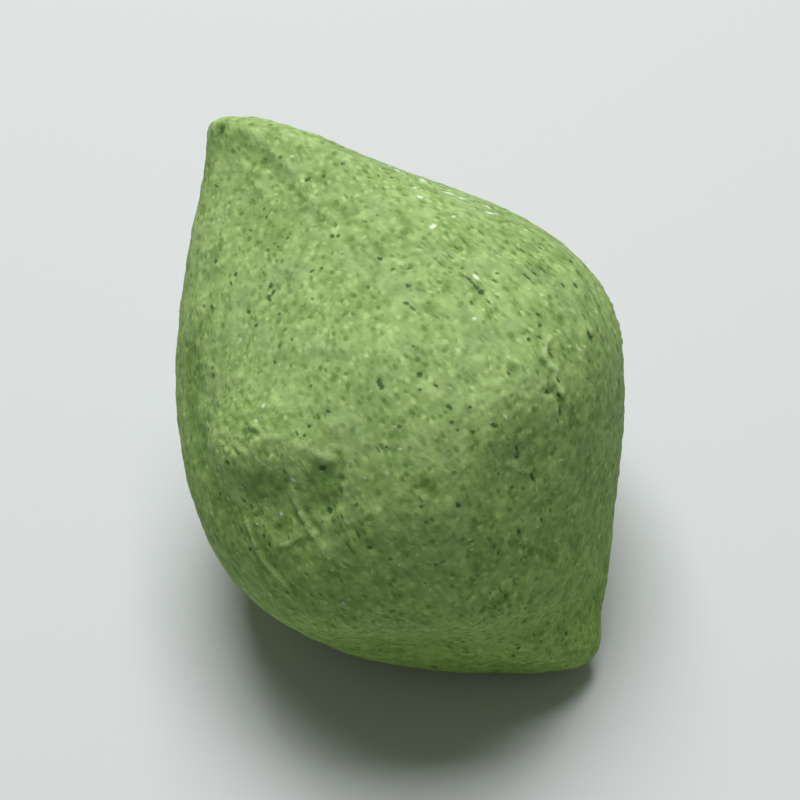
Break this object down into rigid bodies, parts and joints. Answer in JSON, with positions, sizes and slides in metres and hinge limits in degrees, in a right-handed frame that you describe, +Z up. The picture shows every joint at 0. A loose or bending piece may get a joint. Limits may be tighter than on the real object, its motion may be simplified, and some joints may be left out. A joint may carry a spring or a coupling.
{
  "type": "songpyeon",
  "caption": "Large leaf-dough songpyeon: a fat hand-pinched spindle of green rice dough with a ridged point at each end, lying on the flank of its lower end.",
  "frame": {"origin": "centre of the bounding box, at the level of the flat spot that the cake rests on", "axes": "+Z up; +X along the floor from under the low tip to under the raised tip; the long axis lies in the XZ plane"},
  "size_m": [0.0544, 0.0476, 0.0464],
  "materials": {
    "dough": "matte, floury"
  },
  "bodies": {
    "root": {"songpyeon": "dough"}
  },
  "joints": []
}
